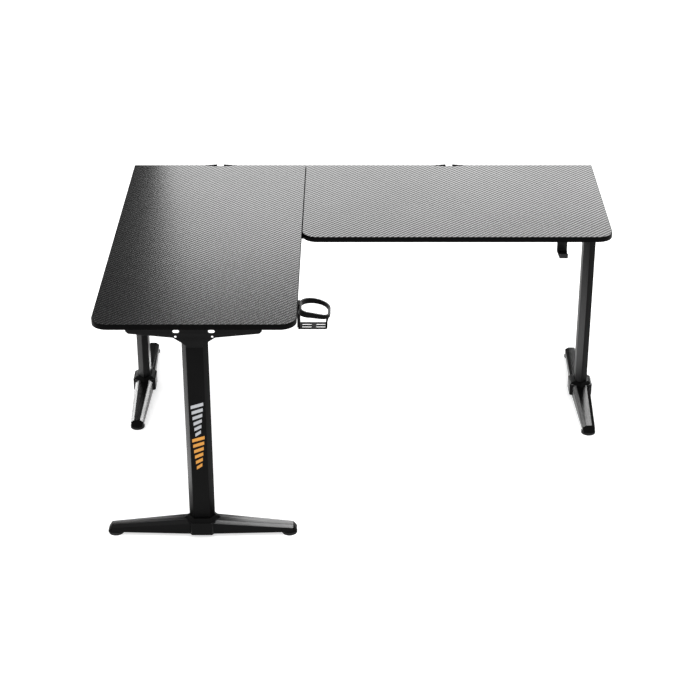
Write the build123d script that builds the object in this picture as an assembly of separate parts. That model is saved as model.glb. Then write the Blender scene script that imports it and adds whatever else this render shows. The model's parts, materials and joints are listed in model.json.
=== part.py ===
from build123d import *
import os

# Corner desk: two butted boards on three T-shaped legs.
# Working frame, mm: x runs right from the left edge, y runs towards the rear with 0 at the
# rear edge of the boards, z runs up from the floor. save() moves everything to the row
# frame, whose origin is the middle of the whole desk's footprint on the floor.

# ---------------------------------------------------------------- driving dimensions, mm
DESK_WIDTH = 1600.0
DESK_HEIGHT = 750.0
LEFT_WIDTH = 600.0
LEFT_DEPTH = 1250.0
RIGHT_DEPTH = 625.0
BOARD_THICKNESS = 18.0
CORNER_RADIUS = 50.0
BAND_THICKNESS = 1.5
SEAM_GAP = 1.0

# How far the cutting shapes run past the faces that they open
CUT = 1.0

# Legs: centre of each column, and the turn that points its outer face away from the desk.
# The two legs that stand across the depth of the boards have slightly longer feet.
FRONT_LEG = (298.0, -1190.0, 0.0)
RIGHT_LEG = (1567.0, -294.0, 90.0)
REAR_LEG = (26.0, -256.0, -90.0)
FRONT_FOOT_LENGTH = 586.0
SIDE_FOOT_LENGTH = 604.0

# Column: a hexagonal steel tube, long way along the foot
COLUMN_LENGTH = 80.0
COLUMN_DEPTH = 40.0
COLUMN_FLAT = 50.0
COLUMN_WALL = 2.0
COLUMN_CORNER = 2.5

# Foot: a hexagonal collar between two tapering arms
FOOT_BOTTOM = 11.5
COLLAR_LENGTH = 121.0
COLLAR_DEPTH = 78.0
COLLAR_FLAT = 62.0
COLLAR_TOP = 54.0
COLLAR_RIM = 3.0
COLLAR_RECESS = 1.0
COLLAR_CORNER = 4.0
SOCKET_FLOOR = 24.0
ARM_ROOT = 50.0
ARM_OVERHANG = 12.0
ARM_WALL = 3.0
ARM_TAIL = 20.0
ARM_HOLLOW_START = 2.0
ARM_CORNER = 2.5
# Arm section at its root and at its end: full width, top flat, shoulder height, top height
ARM_ROOT_SECTION = (60.0, 36.0, 46.0, 54.5)
ARM_END_SECTION = (42.0, 20.0, 25.5, 33.5)
END_BLOCK = 31.0
CAP_LENGTH = 11.0
CAP_TIP_HEIGHT = 4.0
CAP_TIP_INSET = 3.0
CAP_TIP_DROP = 2.0
CAP_TIP_CORNER = 0.8

# Plastic trim round the column where it enters the collar
TRIM_RISE = 11.0
TRIM_TAPER = 45.0
TRIM_GAP = 0.3

# Levelling foot and its threaded insert
PAD_RADIUS = 24.0
PAD_HEIGHT = 9.0
PAD_BOSS_RADIUS = 9.0
PAD_GAP = 0.3
PAD_CHAMFER = 1.5
STUD_RADIUS = 4.0
STUD_BOTTOM = 3.0
STUD_TOP = 28.0
STUD_CHAMFER = 1.0
THREAD_CLEARANCE = 0.08
INSERT_RADIUS = 7.0
INSERT_HEIGHT = 10.0
STUD_WELL_RADIUS = 4.6
STUD_WELL_TOP = 29.5

# Bolts that hold the foot to the plate inside the column
BASE_PLATE = 8.0
BOLT_RADIUS = 4.0
BOLT_CLEARANCE = 0.1
BOLT_SPACING = 36.0
BOLT_HEAD_RADIUS = 6.5
BOLT_HEAD_HEIGHT = 6.0
BOLT_WELL_RADIUS = 7.5
BOLT_WELL_DEPTH = 8.0
BOLT_LENGTH = 14.0

# Bracket at the top of each leg: flange under the board, shaped web down the outer face
PLATE = 3.0
BRACKET_LENGTH = 400.0
FLANGE_DEPTH = 60.0
FLANGE_CORNER = 6.0
WEB_END_DEPTH = 31.0
WEB_KNEE = (62.0, 44.0)
WEB_SHOULDER = (36.0, 61.5)
WEB_TAB = (25.0, 76.0)
WEB_TAB_HEIGHT = 6.0
WEB_END_CHAMFER = 8.0
WEB_SLOT = (19.5, 11.0)
WEB_SLOT_X = 52.0
WEB_SLOT_DROP = 23.5
WEB_HOLE_RADIUS = 3.5
WEB_HOLE_X = 54.0
WEB_HOLE_DROP = 41.0
BOARD_SCREW_X = (60.0, 188.0)
BOARD_SCREW_Y = 24.0

# Frame under the boards: two cross tubes, and two side tubes to the front leg
TUBE_WIDTH = 40.0
TUBE_HEIGHT = 25.0
TUBE_WALL = 1.5
TUBE_END_GAP = 2.0
REAR_TUBE_Y = -140.0
MIDDLE_TUBE_Y = -410.0
SIDE_TUBE_OFFSET = 154.0
TAB_LENGTH = 98.0
TAB_OVERLAP = 38.0
TUBE_SCREW_OFFSETS = (116.0, 154.0)
TUBE_SCREW_SPACING = 20.0
ACCESS_RADIUS = 6.0

# Plates that join the boards across the seam
SEAM_PLATE = (120.0, 60.0)
SEAM_PLATE_YS = (-285.0, -560.0)
SEAM_SCREW = (45.0, 18.0)

# Wood screws
SCREW_RADIUS = 2.4
SCREW_HEAD_RADIUS = 4.6
SCREW_HEAD_HEIGHT = 3.0
SCREW_BITE = 12.0
SCREW_HOLE_RADIUS = 2.75
PILOT_RADIUS = 2.5

# Cable guides at the middle of each rear edge
GUIDE_XS = (300.0, 1100.5)
GUIDE_HALF = 58.0
GUIDE_SLOT_HALF = 11.5
GUIDE_NOTCH = 12.0
GUIDE_BRIDGE = 2.5
GUIDE_LIP = 8.0

# Cup holder at the right edge of the left board: a hoop with a round back and a flat
# front, tilted down away from the desk, over a slotted base
CUP_X = 651.0
CUP_Y = -1069.5
CUP_HOOP_Z = 722.0
CUP_HOOP_WIDTH = 95.0
CUP_HOOP_DEPTH = 109.0
CUP_HOOP_CORNER = 26.0
CUP_HOOP_WALL = 7.0
CUP_HOOP_HEIGHTS = (19.0, 12.0)
CUP_HOOP_ROUND = 1.5
CUP_ROLL = 11.0
CUP_PLATE = (6.0, 37.0)
CUP_PLATE_TOP = 735.0
CUP_PLATE_CORNER = 6.0
CUP_BASE_Z = 655.0
CUP_BASE_THICKNESS = 2.5
CUP_BASE_END = 687.0
CUP_BASE_DEPTH = 44.0
CUP_BASE_CORNER = 7.0
CUP_RIB = (641.0, 653.0)
CUP_SLOT_WIDTH = 8.5
CUP_SLOT_CORNER = 3.0
CUP_BAR_WIDTH = 8.5
CUP_SLOT_START = 611.0
CUP_SLOT_END = 682.0
CUP_STRAP_WIDTH = 22.0
CUP_STRAP_THICKNESS = 5.0
CUP_STRAP = ((694.0, 708.0), (693.5, 697.0), (688.0, 685.0), (685.0, 672.0), (685.0, 656.0))
CUP_BRACKET_REACH = 56.0
CUP_BRACKET_WIDTH = 34.0
CUP_BRACKET_BOTTOM = 655.0
CUP_BRACKET_CORNER = 8.0
CUP_SCREW_ZS = (683.0, 706.0)
CUP_SCREW_BITE = 4.5

# Headphone hook under the right board's front edge
HOOK_X = 1444.5
HOOK_BACK_Y = -549.0
HOOK_FRONT_Y = -610.0
HOOK_SEAT_Z = 669.0
HOOK_LIP = 15.0
HOOK_THICKNESS = 3.0
HOOK_BEND = 7.0
HOOK_BACK_WIDTH = 33.0
HOOK_FRONT_WIDTH = 26.0
HOOK_FLANGE = (44.0, 40.0)
HOOK_SCREW_X = 13.0

# ---------------------------------------------------------------- worked out from them
BOARD_BOTTOM = DESK_HEIGHT - BOARD_THICKNESS
FLANGE_BOTTOM = BOARD_BOTTOM - PLATE
TUBE_BOTTOM = FLANGE_BOTTOM - TUBE_HEIGHT
SEAM_X = LEFT_WIDTH
HALF_GAP = SEAM_GAP / 2
COLUMN_FACE = COLUMN_DEPTH / 2
WEB_FACE = COLUMN_FACE + PLATE
REAR_REACH = REAR_LEG[1] + SIDE_FOOT_LENGTH / 2
LEFT_REACH = REAR_LEG[0] - COLLAR_DEPTH / 2
RIGHT_REACH = RIGHT_LEG[0] + COLLAR_DEPTH / 2
ROW_ORIGIN = ((LEFT_REACH + RIGHT_REACH) / 2, (REAR_REACH - LEFT_DEPTH) / 2)
SIDE_TUBE_XS = (FRONT_LEG[0] - SIDE_TUBE_OFFSET, FRONT_LEG[0] + SIDE_TUBE_OFFSET)
TUBE_LEFT = REAR_LEG[0] - COLUMN_FACE + TUBE_END_GAP
TUBE_RIGHT = RIGHT_LEG[0] + COLUMN_FACE - TUBE_END_GAP
TAB_SCREW_Y = MIDDLE_TUBE_Y + TUBE_WIDTH / 2 - TAB_OVERLAP / 2
LEGS = {"front_leg": FRONT_LEG, "right_leg": RIGHT_LEG, "rear_leg": REAR_LEG}
FOOT_LENGTHS = {"front_leg": FRONT_FOOT_LENGTH, "right_leg": SIDE_FOOT_LENGTH,
                "rear_leg": SIDE_FOOT_LENGTH}
SIDES = {"left": -1, "right": 1}


# ---------------------------------------------------------------- helpers
def save(name, shape):
    moved = Pos(-ROW_ORIGIN[0], -ROW_ORIGIN[1], 0) * shape
    export_step(moved, f"parts/{name}.step")


def group(solids):
    return Compound(children=[solid for shape in solids for solid in shape.solids()])


def box(x, y, z):
    """A block from three (low, high) pairs."""
    block = Box(x[1] - x[0], y[1] - y[0], z[1] - z[0], align=(Align.MIN,) * 3)
    return Pos(x[0], y[0], z[0]) * block


def rod(radius, bottom, top, x=0.0, y=0.0):
    cylinder = Cylinder(radius, top - bottom, align=(Align.CENTER, Align.CENTER, Align.MIN))
    return Pos(x, y, bottom) * cylinder


def outline(*points):
    return make_face(Polyline(*points, close=True))


def hexagon(length, depth, flat, corner):
    """Six-sided outline with points at the two ends of its length."""
    half, side, face = flat / 2, length / 2, depth / 2
    points = [(half, face), (side, 0), (half, -face), (-half, -face), (-side, 0), (-half, face)]
    sketch = outline(*points)
    return fillet(sketch.vertices(), corner) if corner else sketch


def corners(sketch, points):
    """The sketch's corners at these points."""
    return [sketch.vertices().sort_by_distance((x, y, 0))[0] for x, y in points]


def grown(sketch, amount):
    return offset(sketch, amount=amount, kind=Kind.INTERSECTION)


def prism(sketch, bottom, top):
    return Pos(0, 0, bottom) * extrude(sketch, amount=top - bottom)


def on_leg(leg, shape):
    """Place a shape made in a leg's own frame: foot along X, outer face towards -Y."""
    x, y, turn = leg
    return Pos(x, y, 0) * Rot(0, 0, turn) * shape


def leg_point(leg, x, y):
    """Where a point of a leg's own frame is on the desk."""
    spot = (on_leg(leg, Pos(x, y, 0))).position
    return spot.X, spot.Y


def wood_screw(x, y, seat, plates):
    """Pan head under the plates that it clamps, thread up into the board."""
    head = rod(SCREW_HEAD_RADIUS, seat - SCREW_HEAD_HEIGHT, seat, x, y)
    head = fillet(head.edges().sort_by(Axis.Z)[0], SCREW_HEAD_HEIGHT / 2)
    return head + rod(SCREW_RADIUS, seat, seat + plates + SCREW_BITE, x, y)


# ---------------------------------------------------------------- where the screws go
def bracket_screws():
    spots = []
    for leg in LEGS.values():
        for x in BOARD_SCREW_X:
            spots += [leg_point(leg, -x, BOARD_SCREW_Y), leg_point(leg, x, BOARD_SCREW_Y)]
    return spots


def tube_screws():
    """Pairs where a tube passes under a bracket or under a side tube's tab."""
    half = TUBE_SCREW_SPACING / 2
    spots = []
    for leg in (REAR_LEG, RIGHT_LEG):
        for y in (REAR_TUBE_Y, MIDDLE_TUBE_Y):
            spots += [(leg[0], y - half), (leg[0], y + half)]
    for x in SIDE_TUBE_XS:
        spots += [(x, FRONT_LEG[1] - half), (x, FRONT_LEG[1] + half)]
        spots += [(x - half, TAB_SCREW_Y), (x + half, TAB_SCREW_Y)]
    return spots


def seam_screws():
    spots = []
    for y in SEAM_PLATE_YS:
        for dx in (-SEAM_SCREW[0], SEAM_SCREW[0]):
            spots += [(SEAM_X + dx, y - SEAM_SCREW[1]), (SEAM_X + dx, y + SEAM_SCREW[1])]
    return spots


def cup_screws():
    x = SEAM_X - CUP_BRACKET_REACH / 2
    return [(x, CUP_Y - CUP_BRACKET_WIDTH / 4), (x, CUP_Y + CUP_BRACKET_WIDTH / 4)]


def hook_screws():
    y = HOOK_BACK_Y + HOOK_FLANGE[1] / 2
    return [(HOOK_X - HOOK_SCREW_X, y), (HOOK_X + HOOK_SCREW_X, y)]


# ---------------------------------------------------------------- boards
def board_outline(left, right, depth):
    middle = Pos((left + right) / 2, -depth / 2)
    sketch = middle * Rectangle(right - left, depth)
    front = sketch.vertices().group_by(Axis.Y)[0]
    return fillet(front, CORNER_RADIUS)


def guide_notch(x):
    return Pos(x, 0) * outline((-GUIDE_HALF, 0), (-GUIDE_SLOT_HALF, -GUIDE_NOTCH),
                               (GUIDE_SLOT_HALF, -GUIDE_NOTCH), (GUIDE_HALF, 0))


def make_board(left, right, depth, guide_x):
    """The laminated core and the band round its edge."""
    whole = board_outline(left, right, depth)
    core = grown(whole, -BAND_THICKNESS)
    notch = prism(guide_notch(guide_x), BOARD_BOTTOM - CUT, DESK_HEIGHT + CUT)
    band = prism(whole - core, BOARD_BOTTOM, DESK_HEIGHT) - notch
    board = prism(core, BOARD_BOTTOM, DESK_HEIGHT) - notch
    spots = bracket_screws() + tube_screws() + seam_screws() + cup_screws() + hook_screws()
    for x, y in spots:
        if left < x < right and -depth < y < 0:
            board -= rod(PILOT_RADIUS, BOARD_BOTTOM - CUT, BOARD_BOTTOM + SCREW_BITE, x, y)
    return board, band


def cable_guide(x):
    """Two lips that taper to nothing at their outer ends, with an open slot between."""
    wing = [(GUIDE_HALF, 0), (GUIDE_SLOT_HALF, -GUIDE_NOTCH), (0, -GUIDE_NOTCH),
            (0, GUIDE_BRIDGE - GUIDE_NOTCH), (GUIDE_SLOT_HALF, GUIDE_BRIDGE - GUIDE_NOTCH),
            (GUIDE_SLOT_HALF, GUIDE_LIP)]
    half = outline(*wing)
    return prism(Pos(x, 0) * (half + mirror(half, Plane.YZ)), BOARD_BOTTOM, DESK_HEIGHT)


# ---------------------------------------------------------------- legs, in their own frame
def column_outline():
    return hexagon(COLUMN_LENGTH, COLUMN_DEPTH, COLUMN_FLAT, COLUMN_CORNER)


def column():
    outer = column_outline()
    return prism(outer - offset(outer, amount=-COLUMN_WALL), SOCKET_FLOOR, FLANGE_BOTTOM)


def base_plate():
    plate = prism(offset(column_outline(), amount=-COLUMN_WALL), SOCKET_FLOOR,
                  SOCKET_FLOOR + BASE_PLATE)
    for side in SIDES.values():
        plate -= rod(BOLT_RADIUS, 0, DESK_HEIGHT, side * BOLT_SPACING / 2)
    return plate


def foot_bolts():
    bolts = []
    for side in SIDES.values():
        x = side * BOLT_SPACING / 2
        seat = FOOT_BOTTOM + BOLT_WELL_DEPTH
        head = rod(BOLT_HEAD_RADIUS, seat - BOLT_HEAD_HEIGHT, seat, x)
        bolts.append(head + rod(BOLT_RADIUS - BOLT_CLEARANCE, seat, seat + BOLT_LENGTH, x))
    return bolts


def arm_end(length):
    return length / 2 - ARM_OVERHANG


def pad_x(length):
    return length / 2 - PAD_RADIUS


def arm_section(length, x, inset, bottom):
    """The arm's section at x: upright sides, sloped shoulders and a narrow flat top."""
    t = (x - ARM_ROOT) / (arm_end(length) - ARM_ROOT)
    width, flat, shoulder, top = [
        root + (end - root) * t for root, end in zip(ARM_ROOT_SECTION, ARM_END_SECTION)
    ]
    side, ridge = width / 2 - inset, flat / 2 - inset / 2
    plane = Plane(origin=(x, 0, 0), x_dir=(0, 1, 0), z_dir=(1, 0, 0))
    points = [(-side, bottom), (-side, shoulder - inset / 2), (-ridge, top - inset),
              (ridge, top - inset), (side, shoulder - inset / 2), (side, bottom)]
    sketch = outline(*points)
    upper = sketch.vertices().filter_by(lambda v: v.Y > bottom + CUT)
    return plane * fillet(upper, ARM_CORNER)


def arm(length):
    root, end = ARM_ROOT - ARM_TAIL, arm_end(length)
    shell = loft([arm_section(length, root, 0, FOOT_BOTTOM),
                  arm_section(length, end, 0, FOOT_BOTTOM)])
    start = COLLAR_LENGTH / 2 + ARM_HOLLOW_START
    hollow = loft([arm_section(length, start, ARM_WALL, FOOT_BOTTOM - CUT),
                   arm_section(length, end - END_BLOCK, ARM_WALL, FOOT_BOTTOM - CUT)])
    return shell - hollow


def foot(length):
    collar = hexagon(COLLAR_LENGTH, COLLAR_DEPTH, COLLAR_FLAT, COLLAR_CORNER)
    body = prism(collar, FOOT_BOTTOM, COLLAR_TOP)
    one = arm(length)
    body = body + one + mirror(one, Plane.YZ)
    sunk = offset(collar, amount=-COLLAR_RIM)
    body -= prism(sunk, COLLAR_TOP - COLLAR_RECESS, COLLAR_TOP + TRIM_RISE)
    body -= prism(offset(column_outline(), amount=TRIM_GAP), SOCKET_FLOOR, COLLAR_TOP + CUT)
    for side in SIDES.values():
        x = side * BOLT_SPACING / 2
        body -= rod(BOLT_RADIUS, 0, SOCKET_FLOOR + CUT, x)
        body -= rod(BOLT_WELL_RADIUS, 0, FOOT_BOTTOM + BOLT_WELL_DEPTH, x)
        body -= rod(INSERT_RADIUS, 0, FOOT_BOTTOM + INSERT_HEIGHT, side * pad_x(length))
        body -= rod(STUD_WELL_RADIUS, 0, STUD_WELL_TOP, side * pad_x(length))
    return body


def column_trim():
    """A black skirt that slopes from the column down to the collar's rim."""
    collar = hexagon(COLLAR_LENGTH, COLLAR_DEPTH, COLLAR_FLAT, COLLAR_CORNER)
    skirt = offset(collar, amount=-COLLAR_RIM - TRIM_GAP)
    ring = extrude(skirt, amount=TRIM_RISE, taper=TRIM_TAPER)
    ring = Pos(0, 0, COLLAR_TOP - COLLAR_RECESS) * ring
    return ring - prism(offset(column_outline(), amount=TRIM_GAP), 0, DESK_HEIGHT)


def end_cap(length, side):
    """A moulded wedge that closes the end of an arm and slopes down over the pad."""
    face = arm_section(length, arm_end(length), 0, FOOT_BOTTOM)
    width, flat = ARM_END_SECTION[:2]
    x = arm_end(length) + CAP_LENGTH
    plane = Plane(origin=(x, 0, 0), x_dir=(0, 1, 0), z_dir=(1, 0, 0))
    tip_side, tip_ridge = width / 2 - CAP_TIP_INSET, flat / 2 - CAP_TIP_INSET / 2
    tip_top = FOOT_BOTTOM + CAP_TIP_HEIGHT
    tip_knee = tip_top - CAP_TIP_DROP
    points = [(-tip_side, FOOT_BOTTOM), (-tip_side, tip_knee), (-tip_ridge, tip_top),
              (tip_ridge, tip_top), (tip_side, tip_knee), (tip_side, FOOT_BOTTOM)]
    sketch = outline(*points)
    upper = sketch.vertices().filter_by(lambda v: v.Y > FOOT_BOTTOM + CUT)
    cap = loft([face, plane * fillet(upper, CAP_TIP_CORNER)])
    return cap if side > 0 else mirror(cap, Plane.YZ)


def bracket():
    """Folded plate: a flange under the board and a web that tapers to both ends."""
    half = BRACKET_LENGTH / 2
    flange_y = FLANGE_DEPTH / 2 - WEB_FACE
    flange = Pos(0, flange_y) * Rectangle(BRACKET_LENGTH, FLANGE_DEPTH)
    flange = fillet(flange.vertices().group_by(Axis.Y)[-1], FLANGE_CORNER)
    plate = prism(flange, FLANGE_BOTTOM, BOARD_BOTTOM)
    holes = [(side * x, BOARD_SCREW_Y) for x in BOARD_SCREW_X for side in SIDES.values()]
    pair = TUBE_SCREW_SPACING / 2
    for x in TUBE_SCREW_OFFSETS:
        for side in SIDES.values():
            holes += [(side * x - pair, 0), (side * x + pair, 0)]
            holes += [(side * x, -pair), (side * x, pair)]
    for x, y in holes:
        plate -= rod(SCREW_HOLE_RADIUS, FLANGE_BOTTOM - CUT, BOARD_BOTTOM + CUT, x, y)
    right = [(half, 0), (half, -WEB_END_DEPTH + WEB_END_CHAMFER),
             (half - WEB_END_CHAMFER, -WEB_END_DEPTH), (WEB_KNEE[0], -WEB_KNEE[1]),
             (WEB_SHOULDER[0], -WEB_SHOULDER[1]), (WEB_TAB[0], WEB_TAB_HEIGHT - WEB_TAB[1]),
             (WEB_TAB[0], -WEB_TAB[1])]
    left = [(-x, z) for x, z in reversed(right)]
    web = outline(*right, *left)
    for side in SIDES.values():
        slot = SlotOverall(*WEB_SLOT)
        web -= Pos(side * WEB_SLOT_X, -WEB_SLOT_DROP) * slot
        web -= Pos(side * WEB_HOLE_X, -WEB_HOLE_DROP) * Circle(WEB_HOLE_RADIUS)
    front = Plane(origin=(0, -WEB_FACE, BOARD_BOTTOM), x_dir=(1, 0, 0), z_dir=(0, -1, 0))
    return plate + extrude(front * web, amount=-PLATE)


def leveller_pad(length, side):
    top = FOOT_BOTTOM - PAD_GAP
    disc = rod(PAD_RADIUS, 0, PAD_HEIGHT)
    disc = fillet(disc.edges().group_by(Axis.Z)[-1], PAD_CHAMFER)
    disc = chamfer(disc.edges().group_by(Axis.Z)[0], PAD_CHAMFER / 2)
    pad = disc + rod(PAD_BOSS_RADIUS, PAD_HEIGHT - CUT, top)
    pad -= rod(STUD_RADIUS, STUD_BOTTOM, top + CUT)
    return Pos(side * pad_x(length), 0, 0) * pad


def leveller_stud(length, side):
    stud = rod(STUD_RADIUS, STUD_BOTTOM, STUD_TOP, side * pad_x(length))
    return chamfer(stud.edges().sort_by(Axis.Z)[-1], STUD_CHAMFER)


def leveller_inserts(length):
    inserts = []
    for side in SIDES.values():
        x = side * pad_x(length)
        sleeve = rod(INSERT_RADIUS, FOOT_BOTTOM, FOOT_BOTTOM + INSERT_HEIGHT, x)
        inserts.append(sleeve - rod(STUD_RADIUS + THREAD_CLEARANCE, 0, STUD_WELL_TOP, x))
    return inserts


# ---------------------------------------------------------------- frame under the boards
def tube_between(x, y, screws):
    """A rectangular tube in a box, hollow along its longer way, drilled for its screws."""
    tube = box(x, y, (TUBE_BOTTOM, FLANGE_BOTTOM))
    bore_z = (TUBE_BOTTOM + TUBE_WALL, FLANGE_BOTTOM - TUBE_WALL)
    if x[1] - x[0] > y[1] - y[0]:
        tube -= box((x[0] - CUT, x[1] + CUT), (y[0] + TUBE_WALL, y[1] - TUBE_WALL), bore_z)
    else:
        tube -= box((x[0] + TUBE_WALL, x[1] - TUBE_WALL), (y[0] - CUT, y[1] + CUT), bore_z)
    for sx, sy in screws:
        if x[0] < sx < x[1] and y[0] < sy < y[1]:
            tube -= rod(ACCESS_RADIUS, TUBE_BOTTOM - CUT, bore_z[0] + CUT, sx, sy)
            tube -= rod(SCREW_HOLE_RADIUS, bore_z[1] - CUT, FLANGE_BOTTOM + CUT, sx, sy)
    return tube


def cross_tube(y):
    span_y = (y - TUBE_WIDTH / 2, y + TUBE_WIDTH / 2)
    return tube_between((TUBE_LEFT, TUBE_RIGHT), span_y, tube_screws())


def side_tube(x):
    """From the middle cross tube to the front bracket, with a tab over the cross tube."""
    rear = MIDDLE_TUBE_Y - TUBE_WIDTH / 2
    front = FRONT_LEG[1] - COLUMN_FACE + TUBE_END_GAP
    span_x = (x - TUBE_WIDTH / 2, x + TUBE_WIDTH / 2)
    tube = tube_between(span_x, (front, rear), tube_screws())
    tab_end = MIDDLE_TUBE_Y + TUBE_WIDTH / 2
    tab = box(span_x, (tab_end - TAB_LENGTH, tab_end), (FLANGE_BOTTOM, BOARD_BOTTOM))
    for sx, sy in tube_screws():
        tab -= rod(SCREW_HOLE_RADIUS, FLANGE_BOTTOM - CUT, BOARD_BOTTOM + CUT, sx, sy)
    return tube + tab


def seam_plate(y):
    plate = Pos(SEAM_X, y) * RectangleRounded(*SEAM_PLATE, FLANGE_CORNER)
    plate = prism(plate, FLANGE_BOTTOM, BOARD_BOTTOM)
    for sx, sy in seam_screws():
        plate -= rod(SCREW_HOLE_RADIUS, FLANGE_BOTTOM - CUT, BOARD_BOTTOM + CUT, sx, sy)
    return plate


# ---------------------------------------------------------------- cup holder
def hoop_outline(inset):
    """The hoop in plan: half a circle at the back, rounded corners at the front."""
    radius = CUP_HOOP_WIDTH / 2 - inset
    back = CUP_HOOP_DEPTH / 2 - CUP_HOOP_WIDTH / 2
    front = -CUP_HOOP_DEPTH / 2 + inset
    sides = Pos(0, (back + front) / 2) * Rectangle(2 * radius, back - front)
    sides = fillet(sides.vertices().group_by(Axis.Y)[0], CUP_HOOP_CORNER - inset)
    return sides + Pos(0, back) * Circle(radius)


def cup_hoop():
    """The tilted hoop, deeper at the board than at its outer end, and the way through it."""
    tilt = Pos(CUP_X, CUP_Y, CUP_HOOP_Z) * Rot(0, CUP_ROLL, 0)
    inner = hoop_outline(CUP_HOOP_WALL)
    near, far = CUP_HOOP_HEIGHTS
    wide, deep = CUP_HOOP_WIDTH / 2, CUP_HOOP_DEPTH
    side = Plane(origin=(0, deep, 0), x_dir=(1, 0, 0), z_dir=(0, -1, 0))
    wedge = extrude(side * outline((-wide, 0), (wide, 0), (wide, -far), (-wide, -near)),
                    amount=2 * deep)
    hoop = extrude(hoop_outline(0) - inner, amount=-near) & wedge
    ends = hoop.faces().sort_by(Axis.Z)
    hoop = fillet(ends[0].edges() + ends[-1].edges(), CUP_HOOP_ROUND)
    return tilt * hoop, tilt * extrude(inner, amount=2 * near, both=True)


def cup_base():
    """A thin slotted shelf, rounded at its outer end, with a rib across its middle."""
    length = CUP_BASE_END - SEAM_X
    sketch = Pos(SEAM_X + length / 2, CUP_Y) * Rectangle(length, CUP_BASE_DEPTH)
    sketch = fillet(sketch.vertices().group_by(Axis.X)[-1], CUP_BASE_CORNER)
    pitch = (CUP_BAR_WIDTH + CUP_SLOT_WIDTH) / 2
    for low, high in ((CUP_SLOT_START, CUP_RIB[0]), (CUP_RIB[1], CUP_SLOT_END)):
        for side in SIDES.values():
            spot = Pos((low + high) / 2, CUP_Y + side * pitch)
            sketch -= spot * RectangleRounded(high - low, CUP_SLOT_WIDTH, CUP_SLOT_CORNER)
    return prism(sketch, CUP_BASE_Z, CUP_BASE_Z + CUP_BASE_THICKNESS)


def cup_strap():
    """The thin outer strap from the hoop down to the end of the base."""
    half = CUP_STRAP_THICKNESS / 2
    inner = [(x - half, z) for x, z in CUP_STRAP]
    outer = [(x + half, z) for x, z in reversed(CUP_STRAP)]
    plane = Plane(origin=(0, CUP_Y + CUP_STRAP_WIDTH / 2, 0), x_dir=(1, 0, 0), z_dir=(0, -1, 0))
    return extrude(plane * outline(*inner, *outer), amount=CUP_STRAP_WIDTH)


def cup_holder():
    hoop, hole = cup_hoop()
    thickness, width = CUP_PLATE
    low = CUP_Y - width / 2
    plate = box((SEAM_X, SEAM_X + thickness), (low, low + width), (CUP_BASE_Z, CUP_PLATE_TOP))
    plate = fillet(plate.edges().filter_by(Axis.X).group_by(Axis.Z)[-1], CUP_PLATE_CORNER)
    body = (plate - hole) + hoop + (cup_strap() - hole) + cup_base()
    for z in CUP_SCREW_ZS:
        body -= Pos(SEAM_X, CUP_Y, z) * Rot(0, 90, 0) * Cylinder(SCREW_RADIUS, 2 * CUP_SCREW_BITE)
    return body


def cup_bracket():
    """An angle under the board's edge that carries the cup holder."""
    low, high = CUP_Y - CUP_BRACKET_WIDTH / 2, CUP_Y + CUP_BRACKET_WIDTH / 2
    reach = SEAM_X - CUP_BRACKET_REACH
    angle = box((reach, SEAM_X), (low, high), (FLANGE_BOTTOM, BOARD_BOTTOM))
    upright = box((SEAM_X - PLATE, SEAM_X), (low, high), (CUP_BRACKET_BOTTOM, BOARD_BOTTOM))
    foot = upright.edges().filter_by(Axis.X).group_by(Axis.Z)[0]
    angle += fillet(foot, CUP_BRACKET_CORNER)
    for x, y in cup_screws():
        angle -= rod(SCREW_HOLE_RADIUS, FLANGE_BOTTOM - CUT, BOARD_BOTTOM + CUT, x, y)
    for z in CUP_SCREW_ZS:
        angle -= Pos(SEAM_X, CUP_Y, z) * Rot(0, 90, 0) * Cylinder(SCREW_HOLE_RADIUS, 4 * PLATE)
    return angle


def cup_side_screws():
    screws = []
    for z in CUP_SCREW_ZS:
        screw = wood_screw(0, 0, 0, PLATE)
        screw &= rod(2 * SCREW_HEAD_RADIUS, -2 * SCREW_HEAD_HEIGHT, PLATE + CUP_SCREW_BITE)
        screws.append(Pos(SEAM_X - PLATE, CUP_Y, z) * Rot(0, 90, 0) * screw)
    return screws


# ---------------------------------------------------------------- headphone hook
def headphone_hook():
    """A bent strip: flange under the board, back, seat and turned-up lip."""
    top, t = BOARD_BOTTOM, HOOK_THICKNESS
    end, low = HOOK_BACK_Y + HOOK_FLANGE[1], HOOK_SEAT_Z - t
    points = [(end, top - t), (HOOK_BACK_Y + t, top - t), (HOOK_BACK_Y + t, low),
              (HOOK_FRONT_Y, low), (HOOK_FRONT_Y, HOOK_SEAT_Z + HOOK_LIP),
              (HOOK_FRONT_Y + t, HOOK_SEAT_Z + HOOK_LIP), (HOOK_FRONT_Y + t, HOOK_SEAT_Z),
              (HOOK_BACK_Y, HOOK_SEAT_Z), (HOOK_BACK_Y, top), (end, top)]
    profile = outline(*points)
    profile = fillet(corners(profile, points[2:4]), HOOK_BEND)
    profile = fillet(corners(profile, points[6:8]), HOOK_BEND - t)
    side = Plane(origin=(HOOK_X - HOOK_FLANGE[0], 0, 0), x_dir=(0, 1, 0), z_dir=(1, 0, 0))
    strip = extrude(side * profile, amount=2 * HOOK_FLANGE[0])
    back, front, wide = HOOK_BACK_WIDTH / 2, HOOK_FRONT_WIDTH / 2, HOOK_FLANGE[0] / 2
    tip = HOOK_FRONT_Y - CUT
    plan = outline((-front, tip), (front, tip), (back, HOOK_BACK_Y),
                   (back, HOOK_BACK_Y + t), (wide, HOOK_BACK_Y + 3 * t), (wide, end),
                   (-wide, end), (-wide, HOOK_BACK_Y + 3 * t), (-back, HOOK_BACK_Y + t),
                   (-back, HOOK_BACK_Y))
    hook = strip & prism(Pos(HOOK_X, 0) * plan, 0, DESK_HEIGHT)
    for x, y in hook_screws():
        hook -= rod(SCREW_HOLE_RADIUS, top - 2 * t, top + CUT, x, y)
    return hook


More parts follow.
